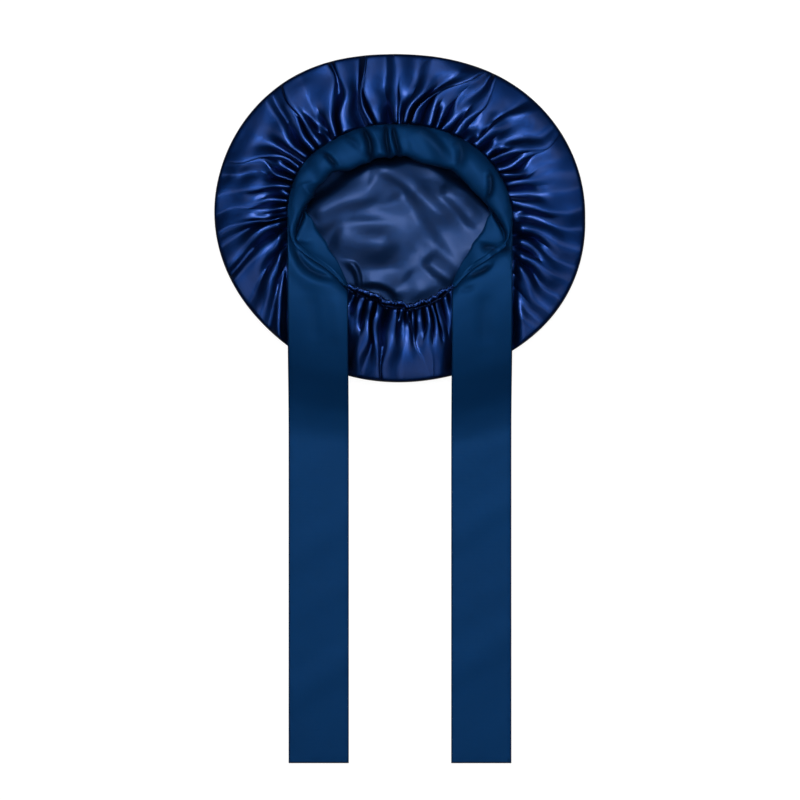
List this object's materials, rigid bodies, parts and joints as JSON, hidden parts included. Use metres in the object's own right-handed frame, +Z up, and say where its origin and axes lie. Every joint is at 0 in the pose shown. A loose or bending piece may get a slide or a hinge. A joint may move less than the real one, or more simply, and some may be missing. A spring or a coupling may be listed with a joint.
{
  "type": "sleep bonnet with wide ties",
  "caption": "Round satin sleep bonnet lying open side up, gathered into a folded matte band with two wide flat ties and an elastic casing at the nape.",
  "frame": {"origin": "middle of the crown's closed side, on the surface that the bonnet lies on", "axes": "+Y from the nape to the forehead side of the head opening, -Y along the two ties, +Z up out of the opening, +X to the side of the right tie as seen from above"},
  "size_m": [0.3494, 0.6695, 0.0519],
  "materials": {
    "satin": "glossy royal navy satin",
    "tape": "matte navy twill with a faint sheen"
  },
  "bodies": {
    "root": {"crown": "satin", "front_band": "tape", "left_tie": "tape", "right_tie": "tape", "nape_casing": "satin"}
  },
  "joints": []
}
